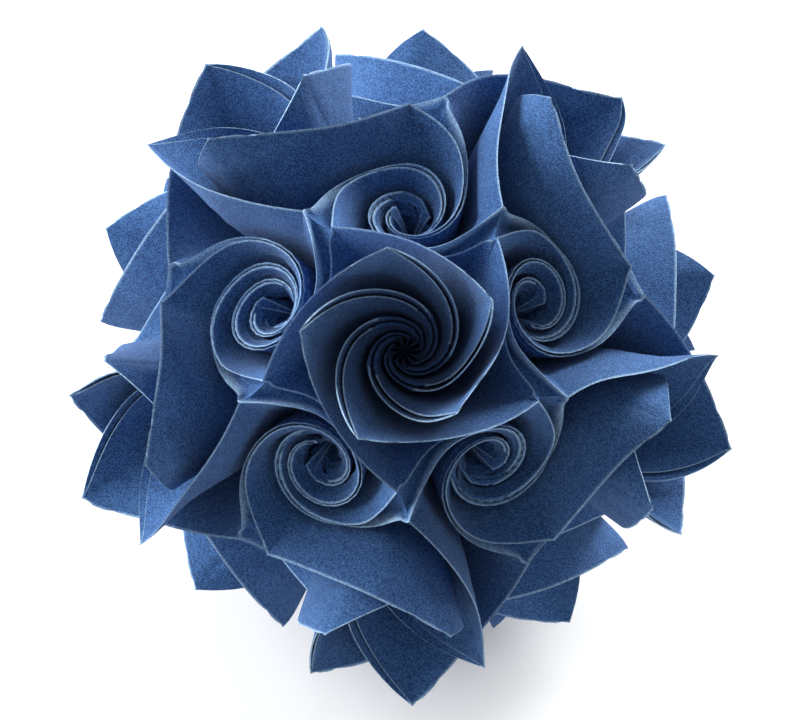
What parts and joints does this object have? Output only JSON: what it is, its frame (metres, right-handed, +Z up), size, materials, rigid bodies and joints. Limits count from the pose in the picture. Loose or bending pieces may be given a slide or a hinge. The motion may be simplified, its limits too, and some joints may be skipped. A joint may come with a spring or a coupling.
{
  "type": "paper kusudama ball",
  "caption": "Folded paper ball of alike interlocked sheets, curled into five-bladed roses with twirled three-strip hollows between them.",
  "frame": {"origin": "middle of the ball's outline, in the plane of the three lowest corners that it rests on", "axes": "+Z up through the middle of a three-strip hollow, +X along an axis between two sheets, the rose in the picture faces forward and up, between -Y and +Z"},
  "size_m": [0.095, 0.0996, 0.0929],
  "materials": {
    "paper": "matte fibrous"
  },
  "bodies": {
    "root": {"paper_unit_01": "paper", "paper_unit_02": "paper", "paper_unit_03": "paper", "paper_unit_04": "paper", "paper_unit_05": "paper", "paper_unit_06": "paper", "paper_unit_07": "paper", "paper_unit_08": "paper", "paper_unit_09": "paper", "paper_unit_10": "paper", "paper_unit_11": "paper", "paper_unit_12": "paper", "paper_unit_13": "paper", "paper_unit_14": "paper", "paper_unit_15": "paper", "paper_unit_16": "paper", "paper_unit_17": "paper", "paper_unit_18": "paper", "paper_unit_19": "paper", "paper_unit_20": "paper", "paper_unit_21": "paper", "paper_unit_22": "paper", "paper_unit_23": "paper", "paper_unit_24": "paper", "paper_unit_25": "paper", "paper_unit_26": "paper", "paper_unit_27": "paper", "paper_unit_28": "paper", "paper_unit_29": "paper", "paper_unit_30": "paper"}
  },
  "joints": []
}
